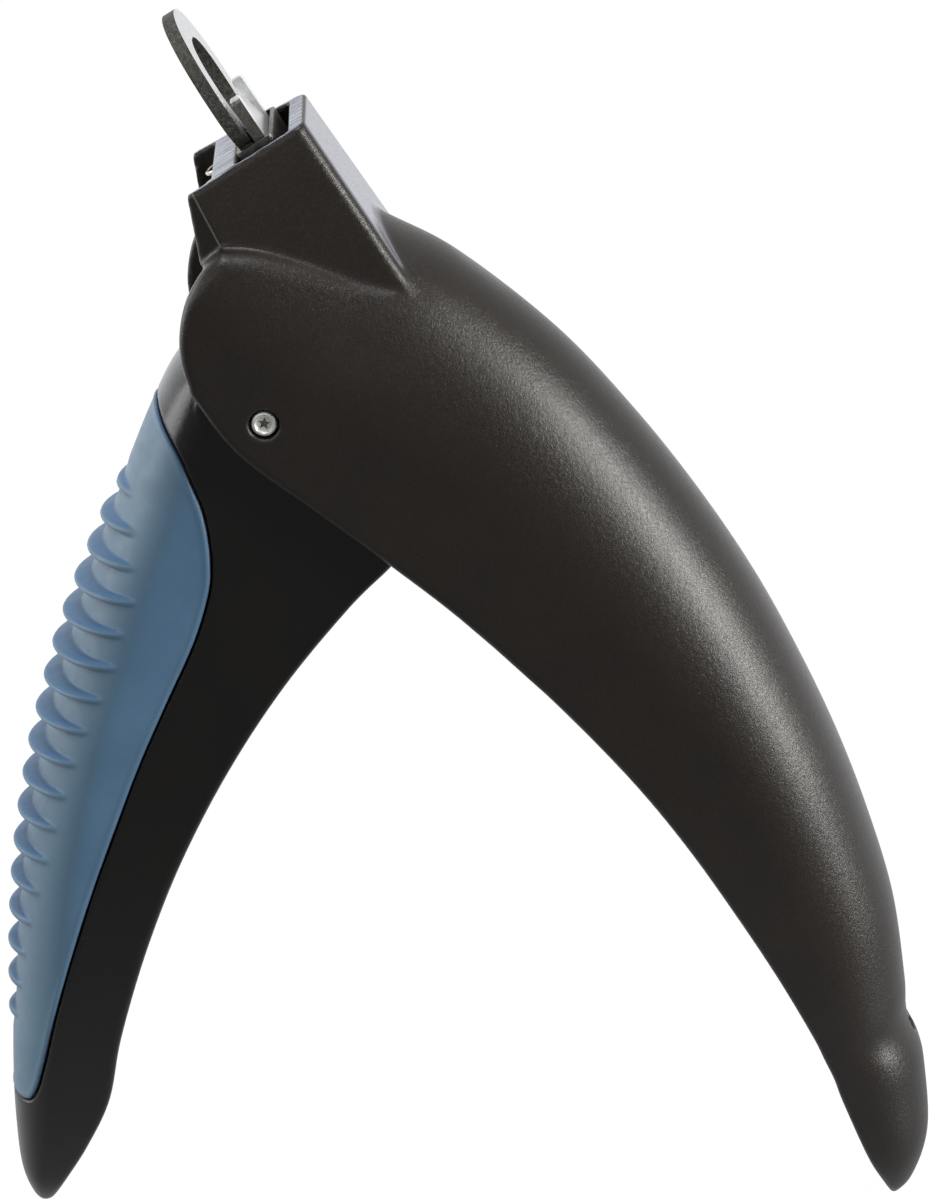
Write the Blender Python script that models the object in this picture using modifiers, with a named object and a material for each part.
"""Pet nail trimmer: guillotine claw clipper with a sprung squeeze lever.

World frame: metres, +Z up, X to the right, the whole trimmer symmetric about
Y = 0 and standing on the tip of its main handle.  The origin is under the
middle of the overall box.  The head is at the top left, the main handle runs
down to the right and the lever hangs down on the left.

All sizes are in millimetres and are given from the pivot axis, which runs
along Y.  The head has its own axes: "up" runs up the head along the blade,
"across" runs from the open side of the head to its back wall.
Frames (all right handed):
  AT_PIVOT  local x, y, z = world X, Y, Z
  SIDE      local x, y, z = world X, Z, -Y     (outlines seen from the side)
  HEAD      local x, y, z = across, up, -Y     (head outlines seen from the side)
  PLATE     local x, y, z = Y, up, across      (ring plate and blade outlines)
  TOP       local x, y, z = across, Y, up      (head sections)
"""
import math

import bmesh
import bpy
from mathutils import Matrix

MM = 0.001

# ---------------------------------------------------------------- shared dimensions
PIVOT_X, PIVOT_Z = -22.20, 98.40      # pivot axis in the world frame
PIVOT_D = 2.75
PIVOT_HOLE_D = 3.25

HEAD_TILT = math.radians(32.0)        # the head leans left from the vertical
HEAD_CORNER = (-7.31, 23.85)          # X, Z of the open top corner of the head

GUIDE_FRONT, GUIDE_BACK = 5.8, 10.3   # blade guide, across the head
GUIDE_BOTTOM, GUIDE_TOP = -7.5, 0.35

SPRING_Y = 2.9                        # spring axes, either side of the middle
SPRING_ACROSS = 2.7

DRIVE_ACROSS, DRIVE_UP = 8.85, -29.1  # drive pin axis in the head

THROUGH = 20                          # half length of cutters that pass right through
SIDES = (("near", -1), ("far", 1))    # label and sign of Y

# ---------------------------------------------------------------- frames
UP_AXIS = (-math.sin(HEAD_TILT), 0, math.cos(HEAD_TILT))
ACROSS_AXIS = (math.cos(HEAD_TILT), 0, math.sin(HEAD_TILT))
Y_AXIS, MINUS_Y_AXIS = (0, 1, 0), (0, -1, 0)
HEAD_ORIGIN = (HEAD_CORNER[0] * MM, 0, HEAD_CORNER[1] * MM)


def moved(frame, x, y, z=0.0):
    """Frame shifted by millimetres along its own axes."""
    return frame @ Matrix.Translation((x * MM, y * MM, z * MM))


AT_PIVOT = moved(Matrix.Identity(4), PIVOT_X, 0, PIVOT_Z)


def frame_from(x_axis, y_axis, z_axis, origin):
    """Frame whose axes and origin are given from the pivot."""
    columns = ((*x_axis, 0), (*y_axis, 0), (*z_axis, 0), (*origin, 1))
    return AT_PIVOT @ Matrix(columns).transposed()


SIDE = frame_from((1, 0, 0), (0, 0, 1), MINUS_Y_AXIS, (0, 0, 0))
HEAD = frame_from(ACROSS_AXIS, UP_AXIS, MINUS_Y_AXIS, HEAD_ORIGIN)
PLATE = frame_from(Y_AXIS, UP_AXIS, ACROSS_AXIS, HEAD_ORIGIN)
TOP = frame_from(ACROSS_AXIS, Y_AXIS, UP_AXIS, HEAD_ORIGIN)


def head_xz(across, up):
    """X, Z from the pivot of a point of the head."""
    return (HEAD_CORNER[0] + across * ACROSS_AXIS[0] + up * UP_AXIS[0],
            HEAD_CORNER[1] + across * ACROSS_AXIS[2] + up * UP_AXIS[2])


DRIVE_XZ = head_xz(DRIVE_ACROSS, DRIVE_UP)

# ---------------------------------------------------------------- scene
for old in list(bpy.data.objects):
    bpy.data.objects.remove(old, do_unlink=True)

root = bpy.context.scene.collection
parts = bpy.data.collections.new("pet_nail_trimmer")
cutters = bpy.data.collections.new("cutters")
root.children.link(parts)
root.children.link(cutters)


# ---------------------------------------------------------------- materials
def material(name, color, roughness, metallic=0.0):
    mat = bpy.data.materials.new(name)
    mat.use_nodes = True
    shader = mat.node_tree.nodes["Principled BSDF"]
    shader.inputs["Base Color"].default_value = (*color, 1)
    shader.inputs["Roughness"].default_value = roughness
    shader.inputs["Metallic"].default_value = metallic
    return mat


HANDLE_MAT = material("handle_plastic", color=(0.028, 0.025, 0.023), roughness=0.5)
LEVER_MAT = material("lever_plastic", color=(0.012, 0.011, 0.010), roughness=0.38)
GRIP_MAT = material("grip_rubber", color=(0.085, 0.18, 0.30), roughness=0.7)
CARRIER_MAT = material("carrier_plastic", color=(0.75, 0.74, 0.70), roughness=0.45)
WASHER_MAT = material("washer_nylon", color=(0.80, 0.80, 0.78), roughness=0.5)
RING_MAT = material("ring_steel", color=(0.48, 0.47, 0.45), roughness=0.32, metallic=1.0)
BLADE_MAT = material("blade_steel", color=(0.62, 0.62, 0.60), roughness=0.22, metallic=1.0)
GUIDE_MAT = material("guide_steel", color=(0.42, 0.42, 0.42), roughness=0.35, metallic=1.0)
SPRING_MAT = material("spring_wire", color=(0.66, 0.62, 0.55), roughness=0.25, metallic=1.0)
PIN_MAT = material("pin_steel", color=(0.60, 0.58, 0.55), roughness=0.3, metallic=1.0)
RIVET_MAT = material("rivet_steel", color=(0.55, 0.55, 0.55), roughness=0.35, metallic=1.0)


# ---------------------------------------------------------------- solids
# Every builder makes a part when it is given a material, else a hidden cutter.
def add(name, mesh, frame, mat=None, smooth=False):
    obj = bpy.data.objects.new(name, mesh)
    if mat:
        parts.objects.link(obj)
        mesh.materials.append(mat)
    else:
        cutters.objects.link(obj)
        obj.hide_render = True
        obj.display_type = "WIRE"
    obj.matrix_world = frame
    if smooth:
        for poly in mesh.polygons:
            poly.use_smooth = True
    return obj


def mesh_from(work, name):
    """Turn a bmesh into a mesh with outward normals."""
    bmesh.ops.recalc_face_normals(work, faces=work.faces)
    mesh = bpy.data.meshes.new(name)
    work.to_mesh(mesh)
    work.free()
    return mesh


def plate(name, loops, low, high, frame, mat=None):
    """Flat outline(s) extruded along local z from low to high; later loops are holes."""
    curve = bpy.data.curves.new(name + "_outline", "CURVE")
    curve.dimensions = "2D"
    curve.fill_mode = "BOTH"
    curve.extrude = 0.5 * (high - low) * MM
    for outline in loops:
        spline = curve.splines.new("POLY")
        spline.points.add(len(outline) - 1)
        for point, (x, y) in zip(spline.points, outline):
            point.co = (x * MM, y * MM, 0, 1)
        spline.use_cyclic_u = True
    carrier_obj = bpy.data.objects.new(name + "_tmp", curve)
    root.objects.link(carrier_obj)
    bpy.context.view_layer.update()
    depsgraph = bpy.context.evaluated_depsgraph_get()
    raw = bpy.data.meshes.new_from_object(carrier_obj.evaluated_get(depsgraph))
    bpy.data.objects.remove(carrier_obj, do_unlink=True)
    work = bmesh.new()
    work.from_mesh(raw)
    # the curve's caps and walls come apart, so they are welded here
    bmesh.ops.remove_doubles(work, verts=work.verts, dist=1e-7)
    bmesh.ops.translate(work, vec=(0, 0, 0.5 * (low + high) * MM), verts=work.verts)
    return add(name, mesh_from(work, name), frame, mat)


def cylinder(name, radius, low, high, frame, mat=None, segments=24, at=(0, 0)):
    """Cylinder along local z of a frame, centred on (x, y) of that frame."""
    work = bmesh.new()
    bmesh.ops.create_cone(work, cap_ends=True, segments=segments, radius1=radius * MM,
                          radius2=radius * MM, depth=(high - low) * MM)
    frame = moved(frame, *at, 0.5 * (low + high))
    return add(name, mesh_from(work, name), frame, mat, smooth=True)


def lathe(name, profile, frame, mat, steps, at=(0, 0)):
    """Turned piece: (radius, height) profile swept about local z by a Screw."""
    mesh = bpy.data.meshes.new(name)
    mesh.from_pydata([(radius * MM, 0, height * MM) for radius, height in profile],
                     [(i, i + 1) for i in range(len(profile) - 1)], [])
    obj = add(name, mesh, moved(frame, *at), mat)
    screw = obj.modifiers.new("turn", "SCREW")
    screw.axis = "Z"
    screw.steps = steps
    screw.render_steps = steps
    screw.use_merge_vertices = True
    screw.merge_threshold = 1e-6
    screw.use_smooth_shade = True
    return obj


def loft(name, rings, frame, mat=None, smooth=False):
    """Skin through closed rings of equal count, both ends capped."""
    work = bmesh.new()
    loops = [[work.verts.new([c * MM for c in point]) for point in ring] for ring in rings]
    count = len(rings[0])
    for lower, upper in zip(loops, loops[1:]):
        for i in range(count):
            j = (i + 1) % count
            work.faces.new((lower[i], lower[j], upper[j], upper[i]))
    work.faces.new(list(reversed(loops[0])))
    work.faces.new(loops[-1])
    return add(name, mesh_from(work, name), frame, mat, smooth)


def boolean(obj, tool, operation):
    mod = obj.modifiers.new(operation.lower() + "_" + tool.name, "BOOLEAN")
    mod.object = tool
    mod.operation = operation
    mod.solver = "EXACT"


def cut(obj, tool):
    boolean(obj, tool, "DIFFERENCE")


def join(obj, tool):
    boolean(obj, tool, "UNION")


# ---------------------------------------------------------------- outlines
def arc(x, y, radius, start, sweep, steps):
    """Points on an arc about (x, y), both ends included."""
    angles = [start + sweep * k / steps for k in range(steps + 1)]
    return [(x + radius * math.cos(a), y + radius * math.sin(a)) for a in angles]


def circle(radius, segments, x=0.0, y=0.0):
    return arc(x, y, radius, 0.0, 2 * math.pi, segments)[:-1]


def rounded(x_min, y_min, x_max, y_max, radius):
    """Rounded rectangle, anticlockwise."""
    left, right = x_min + radius, x_max - radius
    low, high = y_min + radius, y_max - radius
    points = []
    for k, (x, y) in enumerate([(right, high), (left, high), (left, low), (right, low)]):
        points += arc(x, y, radius, math.radians(90 * k), math.radians(90), 3)
    return points


def signed_power(value, power):
    return math.copysign(abs(value) ** power, value)


def spline_at(before, start, end, after, t):
    """Catmull-Rom value between start and end."""
    return 0.5 * (2 * start + (end - before) * t
                  + (2 * before - 5 * start + 4 * end - after) * t * t
                  + (3 * start - before - 3 * end + after) * t ** 3)


def smooth_rows(rows, steps):
    """Catmull-Rom interpolation of rows of numbers, in steps per row."""
    out = []
    last = len(rows) - 1
    for i in range(last):
        around = (rows[max(i - 1, 0)], rows[i], rows[i + 1], rows[min(i + 2, last)])
        for k in range(steps):
            out.append(tuple(spline_at(*column, k / steps) for column in zip(*around)))
    out.append(tuple(rows[-1]))
    return out


def mirrored_ring(start, direction, side):
    """Closed section from its far half.

    side holds (distance, Y) points; distances run along a direction (X, Z)
    from the start (X, Z), which is the middle of the rounded outside.
    """
    def point(distance, y):
        return start[0] + distance * direction[0], y, start[1] + distance * direction[1]

    return ([point(distance, -y) for distance, y in reversed(side)]
            + [point(distance, y) for distance, y in side[1:]])


# ---------------------------------------------------------------- main handle
# spine X, Z, flange edge X, Z, half width, depth of the rounded back
HANDLE_ROWS = [
    (-9.0, 32.0, -17.0, 15.0, 13.3, 11.0),
    (-4.5, 29.4, -12.5, 9.5, 13.3, 14.0),
    (4.2, 24.0, -8.0, 4.2, 13.3, 17.0),
    (12.9, 19.1, -2.8, -3.1, 13.3, 19.0),
    (20.8, 14.8, 5.0, -9.4, 13.3, 19.0),
    (31.5, 6.1, 14.0, -16.4, 13.3, 18.0),
    (39.9, -3.1, 21.5, -22.7, 13.3, 17.0),
    (47.0, -12.3, 28.2, -29.5, 13.2, 16.0),
    (53.3, -21.8, 34.5, -36.2, 12.9, 15.0),
    (58.5, -31.3, 40.4, -43.1, 12.5, 14.0),
    (63.1, -41.0, 45.8, -50.4, 12.0, 13.0),
    (66.9, -50.8, 51.0, -58.4, 11.3, 12.0),
    (70.0, -60.8, 56.0, -66.6, 10.6, 11.0),
    (71.7, -71.0, 60.3, -74.4, 9.9, 9.5),
    (72.1, -75.2, 61.9, -77.8, 9.6, 8.9),
    (73.6, -78.7, 63.1, -80.4, 9.4, 8.6),
    (74.4, -82.1, 64.2, -83.4, 9.1, 8.0),
    (75.1, -90.0, 67.4, -90.9, 8.3, 6.2),
    (73.7, -95.6, 69.7, -95.4, 6.0, 3.4),
]
HANDLE_TIP = (71.7, -98.3, 71.0, -98.4, 2.6, 0.8)
HANDLE_ARC_STEPS = 7
MAX_BACK_SHARE = 0.88                 # most of the section depth the rounded back may take
WALL = 2.2                            # wall of the handle moulding
CHANNEL_ROWS = 16                     # handle stations the channel follows
CHANNEL_PAST_EDGE = 5.0

# X, Z outlines: left edge of the ears, and the shoulder ridge from left to right
EAR = [(-30.0, 4.0), (-8.0, 4.1), (-8.6, 6.9), (-8.7, 9.4), (-8.3, 12.0), (-7.5, 14.2),
       (-6.1, 16.4)]
RIDGE = [(-4.2, 18.2), (0.0, 17.8), (4.0, 16.9), (8.0, 15.5), (11.5, 14.1), (13.4, 13.4),
         (14.5, 13.2)]
RIDGE_CUT_CORNER = (12.6, 14.0)       # across, up: top right corner of the ridge cutters
CHANNEL_CUT_START = (-30.0, 15.9)
SHOULDER_WALL = 2.4                   # wall under the shoulder ridge

HEAD_DEPTH = 13.72                    # across the blade, at the open end
HEAD_DEPTH_DRAFT = 0.023              # depth gained per mm down from the open end
HEAD_HALF = 9.0                       # half width on the open side, at the open end
HEAD_TAPER = 0.155                    # half width lost per mm towards the closed back wall
HEAD_DRAFT = 0.075                    # half width gained per mm down from the open end
HEAD_WALL = 1.05
HEAD_BOTTOM = -24.0
HEAD_CORNER_R = 1.3                   # rounding of the back corners
HEAD_CORNER_DEGREES = (8, 28, 48, 68, 90)
HEAD_LIP, HEAD_LIP_TURN = -3.6, 1.5   # open edge: place across, and turn inward
HEAD_LEAN = [(0.1, 1.0), (-3.3, -7.1), (-12.0, -7.1), (-12.0, 1.0)]    # across, up

CAVITY_ACROSS = (-9.0, 0.0, 11.6)
CAVITY_BOTTOM, CAVITY_TOP = -16.0, 3.0
ARM_ROOM = [(-9, -14.0), (-9, -30), (12.7, -30), (12.7, -14.8), (11.9, -14.0)]    # across, up
ARM_ROOM_HALF = 7.4                   # inside half width where the drive arms swing

BLOCK_FRONT, BLOCK_BACK, BLOCK_TOP = 2.3, 5.5, -0.05
BLOCK_HALF = 7.75
POCKET_R, POCKET_TOP = 2.45, -0.75

HANGING_HOLE_R, HANGING_HOLE_HALF = 1.7, 8
HANGING_HOLE_X, HANGING_HOLE_Z = 72.8, -76.6
HANGING_HOLE_TURN = math.radians(67)


def handle_ring(row, inset=0.0, past_edge=0.0):
    """Closed section: flat sides running into an elliptic back."""
    spine_x, spine_z, edge_x, edge_z, half, depth = row
    length = math.hypot(edge_x - spine_x, edge_z - spine_z)
    direction = (edge_x - spine_x) / length, (edge_z - spine_z) / length
    depth = min(depth, MAX_BACK_SHARE * length) - inset
    half -= inset
    side = []
    for k in range(HANDLE_ARC_STEPS + 1):
        angle = 0.5 * math.pi * k / HANDLE_ARC_STEPS
        side.append((inset + depth * (1 - math.cos(angle)), half * math.sin(angle)))
    side.append((length + past_edge, half))
    return mirrored_ring((spine_x, spine_z), direction, side)


def above_ridge(name, drop, start):
    """Cutter above the ridge lowered by drop, with start as its left edge."""
    x, z = head_xz(*RIDGE_CUT_CORNER)
    ridge = [(ridge_x, ridge_z - drop) for ridge_x, ridge_z in RIDGE]
    outline = start + ridge + [(x, z), (start[0][0], z)]
    return plate(name, [outline], -THROUGH, THROUGH, SIDE)


def head_half(across, up):
    """Half width of the head, tapering to the back wall and widening downwards."""
    return HEAD_HALF - HEAD_TAPER * across - HEAD_DRAFT * up


def head_section(side, up):
    """Closed head section from the (across, Y) points of its far half."""
    return ([(across, y, up) for across, y in side]
            + [(across, -y, up) for across, y in reversed(side)])


def head_ring(up):
    """Head box section: sides turned inward on the open side, back corners rounded."""
    corner = HEAD_DEPTH - HEAD_DEPTH_DRAFT * up - HEAD_CORNER_R
    corner_y = head_half(corner, up) - HEAD_CORNER_R
    side = [(HEAD_LIP, head_half(HEAD_LIP, up) - HEAD_LIP_TURN), (0.0, head_half(0.0, up))]
    for angle in map(math.radians, HEAD_CORNER_DEGREES):
        side.append((corner + HEAD_CORNER_R * math.sin(angle),
                     corner_y + HEAD_CORNER_R * math.cos(angle)))
    return head_section(side, up)


def cavity_ring(up):
    """Head cavity section, running straight out past the open side."""
    side = [(across, head_half(max(across, 0.0), up) - HEAD_WALL) for across in CAVITY_ACROSS]
    return head_section(side, up)


def build_head_box():
    box = loft("head_box", [head_ring(HEAD_BOTTOM), head_ring(0.0)], TOP)
    cut(box, plate("cut_head_lean", [HEAD_LEAN], -THROUGH, THROUGH, HEAD))
    return box


def build_channel():
    """Cutter for the channel inside the handle, open along the flange edges."""
    rows = smooth_rows(HANDLE_ROWS[:CHANNEL_ROWS], 2)[:-1]
    channel = loft("cut_channel", [handle_ring(row, WALL, CHANNEL_PAST_EDGE) for row in rows],
                   AT_PIVOT)
    cut(channel, above_ridge("cut_under_ridge", SHOULDER_WALL, [CHANNEL_CUT_START]))
    return channel


def build_spring_block():
    """Block with two pockets, open on the left, that catch the spring tops."""
    outline = [(BLOCK_FRONT, BLOCK_TOP), (BLOCK_FRONT, GUIDE_BOTTOM),
               (BLOCK_BACK, GUIDE_BOTTOM), (BLOCK_BACK, BLOCK_TOP)]
    block = plate("spring_block", [outline], -BLOCK_HALF, BLOCK_HALF, HEAD)
    for label, sign in SIDES:
        cut(block, cylinder("cut_pocket_" + label, POCKET_R, GUIDE_BOTTOM - 1, POCKET_TOP, TOP,
                            at=(SPRING_ACROSS, sign * SPRING_Y)))
    return block


def build_handle():
    rows = smooth_rows(HANDLE_ROWS, 2) + [HANDLE_TIP]
    handle = loft("main_handle", [handle_ring(row) for row in rows], AT_PIVOT, HANDLE_MAT,
                  smooth=True)
    cut(handle, above_ridge("cut_above_ridge", 0.0, EAR))
    join(handle, build_head_box())
    cut(handle, build_channel())
    cut(handle, loft("cut_head_cavity", [cavity_ring(CAVITY_BOTTOM), cavity_ring(CAVITY_TOP)],
                     TOP))
    cut(handle, plate("cut_arm_room", [ARM_ROOM], -ARM_ROOM_HALF, ARM_ROOM_HALF, HEAD))
    join(handle, build_spring_block())
    cut(handle, cylinder("cut_pivot_bore", PIVOT_HOLE_D / 2, -THROUGH, THROUGH, SIDE))
    hanging_frame = (moved(AT_PIVOT, HANGING_HOLE_X, 0, HANGING_HOLE_Z)
                     @ Matrix.Rotation(HANGING_HOLE_TURN, 4, "Y"))
    cut(handle, cylinder("cut_hanging_hole", HANGING_HOLE_R, -HANGING_HOLE_HALF,
                         HANGING_HOLE_HALF, hanging_frame))


# ---------------------------------------------------------------- blade guide and ring plate
GUIDE_T = 0.5
GUIDE_HALF = 5.9
GUIDE_R_OUT, GUIDE_R_IN = 0.9, 0.4    # corner radii

RING_FRONT, RING_BACK = 6.4, 7.8      # ring plate, across the head
RING_HALF, RING_TANG = 7.0, 5.1       # half widths of the arch and of the tang
RING_BOTTOM = GUIDE_BOTTOM + 0.3
RING_SHOULDER, RING_TIP = 5.5, 15.6   # where the arch starts and ends
RING_POWER = 2.3                      # super-ellipse exponent of the arch
RING_STEPS = 20
NECK = [(0.0, 0.5), (0.3, 1.1), (0.8, 2.6)]    # share of the widening, up
NAIL_HOLE_BOTTOM, NAIL_HOLE_TOP = 1.4, 12.1
NAIL_HOLE_HALF = 4.2
NAIL_HOLE_POWER, NAIL_HOLE_STEPS = 0.85, 24

RIVET_Y, RIVET_UP = 3.7, -5.6
RIVET_HOLE_R = 1.05
RIVET_STEPS = 16
PLATE_RIVET = [(0, RING_BACK - 0.1), (0.65, RING_BACK - 0.1), (0.78, RING_BACK - 0.25),
               (0.78, GUIDE_FRONT + 0.05), (0, GUIDE_FRONT + 0.05)]    # radius, across


def build_guide():
    """Rectangular sleeve with a rivet hole each side in its front wall."""
    outer = rounded(GUIDE_FRONT, -GUIDE_HALF, GUIDE_BACK, GUIDE_HALF, GUIDE_R_OUT)
    inner = rounded(GUIDE_FRONT + GUIDE_T, -GUIDE_HALF + GUIDE_T,
                    GUIDE_BACK - GUIDE_T, GUIDE_HALF - GUIDE_T, GUIDE_R_IN)
    guide = plate("blade_guide", [outer, inner], GUIDE_BOTTOM, GUIDE_TOP, TOP, GUIDE_MAT)
    for label, sign in SIDES:
        cut(guide, cylinder("cut_guide_rivet_" + label, RIVET_HOLE_R, GUIDE_FRONT - 1,
                            GUIDE_FRONT + 1, PLATE, segments=RIVET_STEPS,
                            at=(sign * RIVET_Y, RIVET_UP)))


def ring_outline():
    """Upright outline: narrow tang, widening neck, super-elliptic arch to the top."""
    neck = [(RING_TANG, RING_BOTTOM)]
    neck += [(RING_TANG + share * (RING_HALF - RING_TANG), up) for share, up in NECK]
    points = [(-y, up) for y, up in reversed(neck)] + neck
    for k in range(RING_STEPS + 1):
        angle = math.pi * k / RING_STEPS
        points.append((RING_HALF * signed_power(math.cos(angle), 2 / RING_POWER),
                       RING_SHOULDER + (RING_TIP - RING_SHOULDER)
                       * signed_power(math.sin(angle), 2 / RING_POWER)))
    return points


def nail_hole_outline():
    middle = 0.5 * (NAIL_HOLE_BOTTOM + NAIL_HOLE_TOP)
    half_height = 0.5 * (NAIL_HOLE_TOP - NAIL_HOLE_BOTTOM)
    points = []
    for k in range(NAIL_HOLE_STEPS):
        angle = 2 * math.pi * k / NAIL_HOLE_STEPS
        points.append((NAIL_HOLE_HALF * signed_power(math.cos(angle), NAIL_HOLE_POWER),
                       middle + half_height * signed_power(math.sin(angle), NAIL_HOLE_POWER)))
    return points


def build_ring_plate():
    rivet_holes = [circle(RIVET_HOLE_R, RIVET_STEPS, sign * RIVET_Y, RIVET_UP)
                   for _, sign in SIDES]
    plate("ring_plate", [ring_outline(), nail_hole_outline()] + rivet_holes,
          RING_FRONT, RING_BACK, PLATE, RING_MAT)


def build_plate_rivets():
    for label, sign in SIDES:
        lathe("plate_rivet_" + label, PLATE_RIVET, PLATE, RIVET_MAT, RIVET_STEPS,
              at=(sign * RIVET_Y, RIVET_UP))


# ---------------------------------------------------------------- sliding blade
BLADE_ACROSS = 8.7                    # blade mid plane in the head
BLADE_T = 1.2
BLADE_TOP, BLADE_DIP = 5.4, 2.8       # tips of the blade, and bottom of its concave edge
BLADE_BOTTOM = -25.9
BLADE_HALF, BLADE_FOOT = 5.1, 4.4     # half widths of the blade and of its foot
FOOT_TOP, BLADE_WIDE = -15.4, -13.2   # where the foot starts to widen, and is full width
EDGE_HALF, EDGE_STEPS = 4.1, 24       # concave edge
EDGE_POWER = 1.2
HORN_R = 0.8                          # rounding of the top corners
BEVEL = [(BLADE_ACROSS + 0.62, -0.4), (BLADE_ACROSS + 1.6, -0.4),
         (BLADE_ACROSS + 1.6, 7.6), (BLADE_ACROSS - 1.36, 7.6)]    # across, up
BEVEL_HALF = 3.7

BLADE_RIVET_Y, BLADE_RIVET_UP = 2.4, -23.6
BLADE_RIVET_HOLE_R = 1.15
BLADE_RIVET = [(0, 10.7), (0.75, 10.7), (0.85, 10.55), (0.85, 5.9), (1.7, 5.9), (1.5, 5.3),
               (0.8, 5.0), (0, 4.95)]    # radius, across

CARRIER_HALF = 5.15
CARRIER_TOP, CARRIER_BOTTOM = -18.5, -32.0
CARRIER = [(0.5, CARRIER_TOP), (0.5, -20.1), (6.2, -21.3), (6.2, CARRIER_BOTTOM + 0.8),
           (7.0, CARRIER_BOTTOM), (12.0, CARRIER_BOTTOM), (12.0, -25.4), (10.9, -24.4),
           (10.9, CARRIER_TOP)]       # across, up
BLADE_SEAT = [(7.8, -17), (7.8, -26.2), (9.6, -26.2), (9.6, -17)]    # across, up
CARRIER_CUT_HALF = 7
SLOT_ACROSS, SLOT_HALF_ACROSS, SLOT_HALF_UP = 9.1, 2.3, 1.95
SLOT_R = 0.6


def blade_outline():
    edge = []
    for k in range(EDGE_STEPS + 1):
        y = -EDGE_HALF + 2 * EDGE_HALF * k / EDGE_STEPS
        # the cosine may round to just below zero at the ends
        wave = max(0.0, math.cos(0.5 * math.pi * y / EDGE_HALF))
        edge.append((-y, BLADE_TOP - (BLADE_TOP - BLADE_DIP) * wave ** EDGE_POWER))
    right = [(BLADE_FOOT, BLADE_BOTTOM), (BLADE_FOOT, FOOT_TOP), (BLADE_HALF, BLADE_WIDE)]
    right += arc(BLADE_HALF - HORN_R, BLADE_TOP - HORN_R, HORN_R, 0.0, math.radians(90), 3)[:-1]
    return right + edge + [(-y, up) for y, up in reversed(right)]


def build_blade():
    rivet_holes = [circle(BLADE_RIVET_HOLE_R, RIVET_STEPS, sign * BLADE_RIVET_Y, BLADE_RIVET_UP)
                   for _, sign in SIDES]
    blade = plate("blade", [blade_outline()] + rivet_holes, BLADE_ACROSS - BLADE_T / 2,
                  BLADE_ACROSS + BLADE_T / 2, PLATE, BLADE_MAT)
    # ground bevel along the concave edge, on the face towards the back wall
    cut(blade, plate("cut_blade_bevel", [BEVEL], -BEVEL_HALF, BEVEL_HALF, HEAD))
    return blade


def build_carrier():
    """Plastic block that holds the blade's foot and is moved by the drive pin."""
    carrier = plate("blade_carrier", [CARRIER], -CARRIER_HALF, CARRIER_HALF, HEAD, CARRIER_MAT)
    slot = rounded(SLOT_ACROSS - SLOT_HALF_ACROSS, DRIVE_UP - SLOT_HALF_UP,
                   SLOT_ACROSS + SLOT_HALF_ACROSS, DRIVE_UP + SLOT_HALF_UP, SLOT_R)
    for name, outline in (("cut_blade_seat", BLADE_SEAT), ("cut_drive_slot", slot)):
        cut(carrier, plate(name, [outline], -CARRIER_CUT_HALF, CARRIER_CUT_HALF, HEAD))
    for label, sign in SIDES:
        cut(carrier, cylinder("cut_carrier_rivet_" + label, BLADE_RIVET_HOLE_R, 4, 14, PLATE,
                              segments=RIVET_STEPS,
                              at=(sign * BLADE_RIVET_Y, BLADE_RIVET_UP)))
    return carrier


def build_blade_rivets():
    return [lathe("blade_rivet_" + label, BLADE_RIVET, PLATE, RIVET_MAT, RIVET_STEPS,
                  at=(sign * BLADE_RIVET_Y, BLADE_RIVET_UP)) for label, sign in SIDES]


# ---------------------------------------------------------------- return springs
SPRING_R = 1.95                       # coil radius at the middle of the wire
SPRING_WIRE = 0.5
SPRING_TOP, SPRING_BOTTOM = -1.05, -18.2
SPRING_TURNS = 7.5
SPRING_STEPS_PER_TURN = 12
CLOSED_TURNS = 0.9                    # closed turns at each end
CLOSED_PITCH = SPRING_WIRE * 1.15
SPRING_START = math.pi * 0.6          # angle of the bottom wire end


def spring_rise(turn):
    """Height of the wire above the bottom end after a number of turns."""
    height = SPRING_TOP - SPRING_BOTTOM - SPRING_WIRE
    if turn < CLOSED_TURNS:
        return CLOSED_PITCH * turn
    if turn > SPRING_TURNS - CLOSED_TURNS:
        return height - CLOSED_PITCH * (SPRING_TURNS - turn)
    share = (turn - CLOSED_TURNS) / (SPRING_TURNS - 2 * CLOSED_TURNS)
    closed_height = CLOSED_PITCH * CLOSED_TURNS
    return closed_height + (height - 2 * closed_height) * share


def build_spring(name, y):
    """Compression coil along the head with closed end turns."""
    steps = int(SPRING_TURNS * SPRING_STEPS_PER_TURN)
    curve = bpy.data.curves.new(name, "CURVE")
    curve.dimensions = "3D"
    curve.bevel_depth = SPRING_WIRE / 2 * MM
    curve.bevel_resolution = 2
    curve.use_fill_caps = True
    spline = curve.splines.new("POLY")
    spline.points.add(steps)
    for k, point in enumerate(spline.points):
        turn = SPRING_TURNS * k / steps
        angle = 2 * math.pi * turn + SPRING_START
        point.co = (SPRING_R * math.cos(angle) * MM, SPRING_R * math.sin(angle) * MM,
                    (SPRING_BOTTOM + SPRING_WIRE / 2 + spring_rise(turn)) * MM, 1)
    obj = bpy.data.objects.new(name, curve)
    parts.objects.link(obj)
    curve.materials.append(SPRING_MAT)
    obj.matrix_world = moved(TOP, SPRING_ACROSS, y)


# ---------------------------------------------------------------- pivot
PIN_HALF = 13.05
# radius, height of one end of the pin: dimpled face and chamfered rim
PIN_END = [(0, PIN_HALF - 0.45), (0.85, PIN_HALF - 0.35), (1.05, PIN_HALF), (1.2, PIN_HALF),
           (PIVOT_D / 2, PIN_HALF - 0.2)]
WASHER_IN, WASHER_OUT = 10.3, 10.8    # |Y| from / to
WASHER_R, WASHER_BORE_R = 3.7, 1.7


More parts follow.
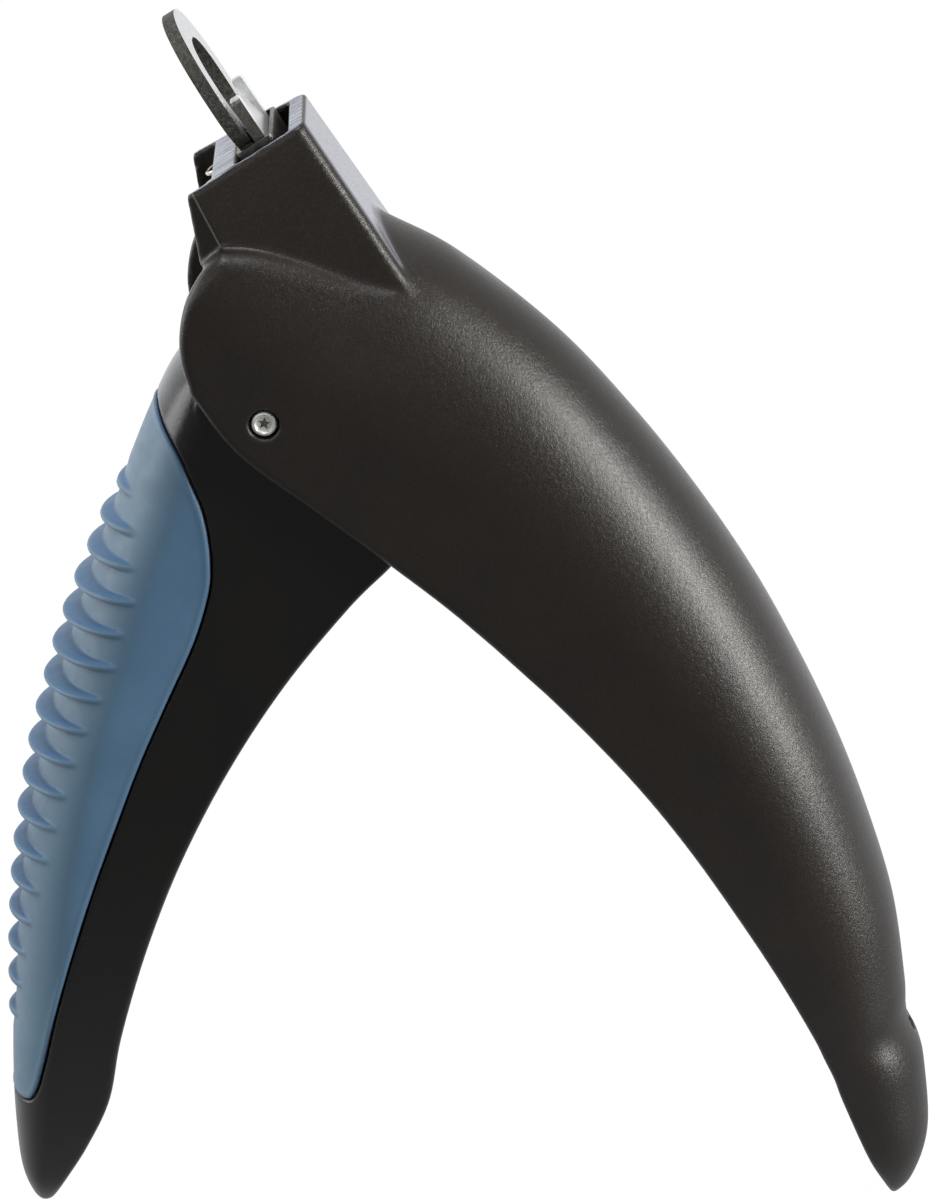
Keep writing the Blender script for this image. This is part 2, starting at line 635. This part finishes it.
def build_pivot():
    other_end = [(radius, -height) for radius, height in reversed(PIN_END)]
    lathe("pivot_pin", PIN_END + other_end, SIDE, PIN_MAT, 24)
    for label, sign in SIDES:
        low, high = sorted((-sign * WASHER_IN, -sign * WASHER_OUT))
        plate("pivot_washer_" + label, [circle(WASHER_R, 24), circle(WASHER_BORE_R, 16)],
              low, high, SIDE, WASHER_MAT)


# ---------------------------------------------------------------- lever
# Z, outer X, inner X, half width, depth of the rounded outside
LEVER_ROWS = [
    (5.0, -8.4, 6.4, 10.0, 3.2),
    (2.0, -10.6, 9.6, 10.0, 5.0),
    (-2.6, -12.8, 13.2, 10.0, 6.5),
    (-7.2, -14.7, 15.6, 10.0, 7.5),
    (-12.0, -16.6, 16.2, 10.0, 8.0),
    (-16.5, -18.3, 13.4, 10.0, 8.0),
    (-22.0, -20.2, 8.7, 10.0, 8.0),
    (-31.0, -23.0, 1.6, 10.0, 8.0),
    (-41.0, -25.7, -4.7, 9.9, 7.8),
    (-52.0, -27.9, -10.2, 9.7, 7.4),
    (-63.0, -29.3, -14.4, 9.4, 7.0),
    (-74.0, -30.1, -17.6, 9.1, 6.4),
    (-82.0, -30.4, -19.2, 8.8, 5.6),
    (-88.0, -30.3, -21.8, 8.2, 4.6),
    (-93.0, -29.9, -24.5, 6.9, 3.2),
    (-96.2, -28.9, -26.1, 4.8, 1.9),
]
LEVER_TIP = (-97.6, -27.8, -26.8, 2.8, 0.7)
FRAME_ROWS = smooth_rows(LEVER_ROWS, 2)
DENSE_ROWS = smooth_rows(LEVER_ROWS, 4)
MAX_OUTSIDE_SHARE = 0.7               # most of the section the rounded outside may take
RIB_POWER, RIB_SIDE_SHARE = 0.8, 0.35    # fading of a rib round the section, push in Y

LEVER_HALF = 10.0                     # half width at the hub
HUB_R = 7.0
HUB_PROUD = 0.25                      # hub radius beyond the arm outline
ARM_IN, ARM_OUT = 5.5, 7.1            # drive arms, |Y| from / to
ARM_END_R = 2.4
CARRIER_GAP = [(7.6, -3.0), (30, -3.0), (30, 20), (5.0, 20), (7.4, 5.0)]    # X, Z

HOLLOW_Z = (-19.0, -24.0, -31.0, -41.0, -52.0, -60.0, -68.0, -75.0, -80.0)
HOLLOW_BACK, HOLLOW_WALL = 4.6, 2.3
HOLLOW_PAST_INNER, HOLLOW_DEPTH = 5, 3.0

DRIVE_PIN_D = 2.0
ROLLER_D, ROLLER_BORE = 3.4, 2.5

GRIP_T = 1.5                          # thickness of the soft grip
GRIP_SEAT_GAP, GRIP_EDGE_GAP = 0.3, 0.28    # gaps under the grip and along its edge
CORE_PAST_INNER = 3
# X, Z: left of this line the lever wears the grip
GRIP_EDGE = [
    (-12.6, 0.6), (-10.8, -2.4), (-9.2, -4.9), (-8.0, -7.8), (-6.9, -10.7), (-6.3, -13.9),
    (-6.1, -17.1), (-6.4, -20.3), (-8.1, -25.9), (-11.3, -33.1), (-14.4, -40.3),
    (-17.2, -47.8), (-19.9, -55.3), (-22.5, -63.4), (-24.6, -70.8), (-26.0, -76.2),
    (-27.3, -79.9), (-28.8, -81.4), (-33.5, -82.0),
]
GRIP_BOTTOM = -82
RIB_TOP = -10.45                      # height of the first rib tip
RIB_PITCH, RIB_GROWTH = 3.6, 0.0225   # spacing of the ribs, growing down the grip
RIB_COUNT = 17
RIB_PROUD = 1.6
RIB_ABOVE, RIB_BELOW = 2.6, 0.7       # reach of a rib above and below its tip
RIB_STATIONS = (2.4, 1.0, 0.2, -0.3, -0.75)    # grip sections at each rib, from its tip


def lever_at(z):
    """Interpolated lever row at a height within the lever."""
    for upper, lower in zip(DENSE_ROWS, DENSE_ROWS[1:]):
        if upper[0] >= z >= lower[0]:
            t = (upper[0] - z) / (upper[0] - lower[0])
            return tuple(start + (end - start) * t for start, end in zip(upper, lower))


def lever_ring(row, inset=0.0, proud=0.0, arc_steps=6, past_inner=0):
    """Closed section in a horizontal plane: rounded outside, flat sides."""
    z, outer, inner, half, depth = row
    depth = min(depth, MAX_OUTSIDE_SHARE * (inner - outer)) - inset
    half -= inset
    side = []
    for k in range(arc_steps + 1):
        angle = 0.5 * math.pi * k / arc_steps
        cos, sin = math.cos(angle), math.sin(angle)
        push = proud * cos ** RIB_POWER
        side.append((inset + depth * (1 - cos) - push * cos,
                     half * sin + RIB_SIDE_SHARE * push * sin))
    side.append((inner + past_inner - outer, half))
    return mirrored_ring((outer, z), (1, 0), side)


def lever_core(name, inset):
    """Cutter: the lever shrunk by an inset on its outside and sides."""
    rings = [lever_ring(row, inset, past_inner=CORE_PAST_INNER) for row in FRAME_ROWS[:-2]]
    return loft(name, rings, AT_PIVOT)


def grip_region(name, grow, half):
    """Cutter over the area left of the grip edge, grown by a margin."""
    outline = []
    last = len(GRIP_EDGE) - 1
    for i, (x, z) in enumerate(GRIP_EDGE):
        x_before, z_before = GRIP_EDGE[max(i - 1, 0)]
        x_after, z_after = GRIP_EDGE[min(i + 1, last)]
        run, rise = x_after - x_before, z_after - z_before
        length = math.hypot(run, rise)
        outline.append((x - grow * rise / length, z + grow * run / length))
    outline += [(-45, GRIP_BOTTOM - grow), (-45, 3), (-15.5, 3)]
    return plate(name, [outline], -half, half, SIDE)


def arm_outline():
    """Outline around the hub circle and the circle at the drive pin."""
    heading = math.atan2(DRIVE_XZ[1], DRIVE_XZ[0])
    spread = math.acos((HUB_R - ARM_END_R) / math.hypot(*DRIVE_XZ))
    return (arc(*DRIVE_XZ, ARM_END_R, heading - spread, 2 * spread, 8)
            + arc(0, 0, HUB_R, heading + spread, 2 * math.pi - 2 * spread, 16))


def hollow_ring(z):
    _, outer, inner, half, _ = lever_at(z)
    row = (z, outer + HOLLOW_BACK, inner + HOLLOW_PAST_INNER, half - HOLLOW_WALL, HOLLOW_DEPTH)
    return lever_ring(row, arc_steps=3)


def build_lever():
    lever = loft("lever_frame", [lever_ring(row) for row in FRAME_ROWS + [LEVER_TIP]],
                 AT_PIVOT, LEVER_MAT, smooth=True)
    recess = grip_region("cut_grip_recess", GRIP_EDGE_GAP, 14)
    cut(recess, lever_core("keep_lever_core", GRIP_T + GRIP_SEAT_GAP))
    cut(lever, recess)
    join(lever, plate("add_drive_arms", [arm_outline()], -ARM_OUT, ARM_OUT, SIDE))
    join(lever, cylinder("add_hub", HUB_R + HUB_PROUD, -LEVER_HALF + 0.05, LEVER_HALF - 0.05,
                         SIDE, segments=32))
    cut(lever, plate("cut_carrier_gap", [CARRIER_GAP], -ARM_IN, ARM_IN, SIDE))
    # hollow on the inner side, leaving side walls, the back and the tip
    cut(lever, loft("cut_lever_hollow", [hollow_ring(z) for z in HOLLOW_Z], AT_PIVOT))
    cut(lever, cylinder("cut_lever_bore", PIVOT_HOLE_D / 2 + 0.05, -THROUGH, THROUGH, SIDE))
    cut(lever, cylinder("cut_drive_bore", DRIVE_PIN_D / 2 + 0.25, -THROUGH, THROUGH, SIDE,
                        segments=16, at=DRIVE_XZ))
    return lever


def rib_tip(i):
    return RIB_TOP - RIB_PITCH * i - RIB_GROWTH * i * i


def rib(z):
    """How far the surface stands out at a height, 0 to 1; ribs are steeper below."""
    best = 0.0
    for i in range(RIB_COUNT):
        above = z - rib_tip(i)
        reach = RIB_ABOVE if above >= 0 else RIB_BELOW
        if abs(above) < reach:
            best = max(best, 0.5 + 0.5 * math.cos(math.pi * above / reach))
    return best


def grip_ring(z):
    """Ribbed grip section; the ribs are lower towards both ends of the grip."""
    i = min(range(RIB_COUNT), key=lambda j: abs(z - rib_tip(j)))
    size = min(1.0, 0.3 + 0.24 * i, 0.395 + 0.085 * (RIB_COUNT - 1 - i))
    return lever_ring((z,) + lever_at(z)[1:], proud=RIB_PROUD * size * rib(z))


def build_grip():
    heights = [3.0, 0.0, -3.0, -5.5]
    heights += [rib_tip(i) + offset for i in range(RIB_COUNT) for offset in RIB_STATIONS]
    heights += [-80.0, GRIP_BOTTOM]
    grip = loft("grip_cover", [grip_ring(z) for z in heights], AT_PIVOT, GRIP_MAT, smooth=True)
    boolean(grip, grip_region("keep_grip_region", 0.0, 15), "INTERSECT")
    cut(grip, lever_core("cut_grip_core", GRIP_T))
    return grip


def build_drive_pin():
    return cylinder("drive_pin", DRIVE_PIN_D / 2, -ARM_OUT + 0.2, ARM_OUT - 0.2, SIDE, PIN_MAT,
                    segments=16, at=DRIVE_XZ)


def build_roller():
    """Sleeve around the drive pin."""
    return plate("drive_roller", [circle(ROLLER_D / 2, 20), circle(ROLLER_BORE / 2, 16)],
                 -CARRIER_HALF, CARRIER_HALF, moved(SIDE, *DRIVE_XZ), PIN_MAT)


# ---------------------------------------------------------------- assembly
def parent_to_axis(name, frame, pieces):
    """Hang the moving pieces on an empty at their axis, without moving them."""
    axis = bpy.data.objects.new(name, None)
    parts.objects.link(axis)
    axis.matrix_world = frame
    bpy.context.view_layer.update()
    for piece in pieces:
        keep = piece.matrix_world.copy()
        piece.parent = axis
        piece.matrix_parent_inverse = axis.matrix_world.inverted()
        piece.matrix_world = keep


build_handle()
build_guide()
build_ring_plate()
build_plate_rivets()
for side_label, y_sign in SIDES:
    build_spring("return_spring_" + side_label, y_sign * SPRING_Y)
build_pivot()
parent_to_axis("lever_pivot_axis", AT_PIVOT,
               [build_lever(), build_grip(), build_drive_pin(), build_roller()])
parent_to_axis("blade_slide_axis", moved(PLATE, 0, 0, BLADE_ACROSS),
               [build_blade(), build_carrier()] + build_blade_rivets())
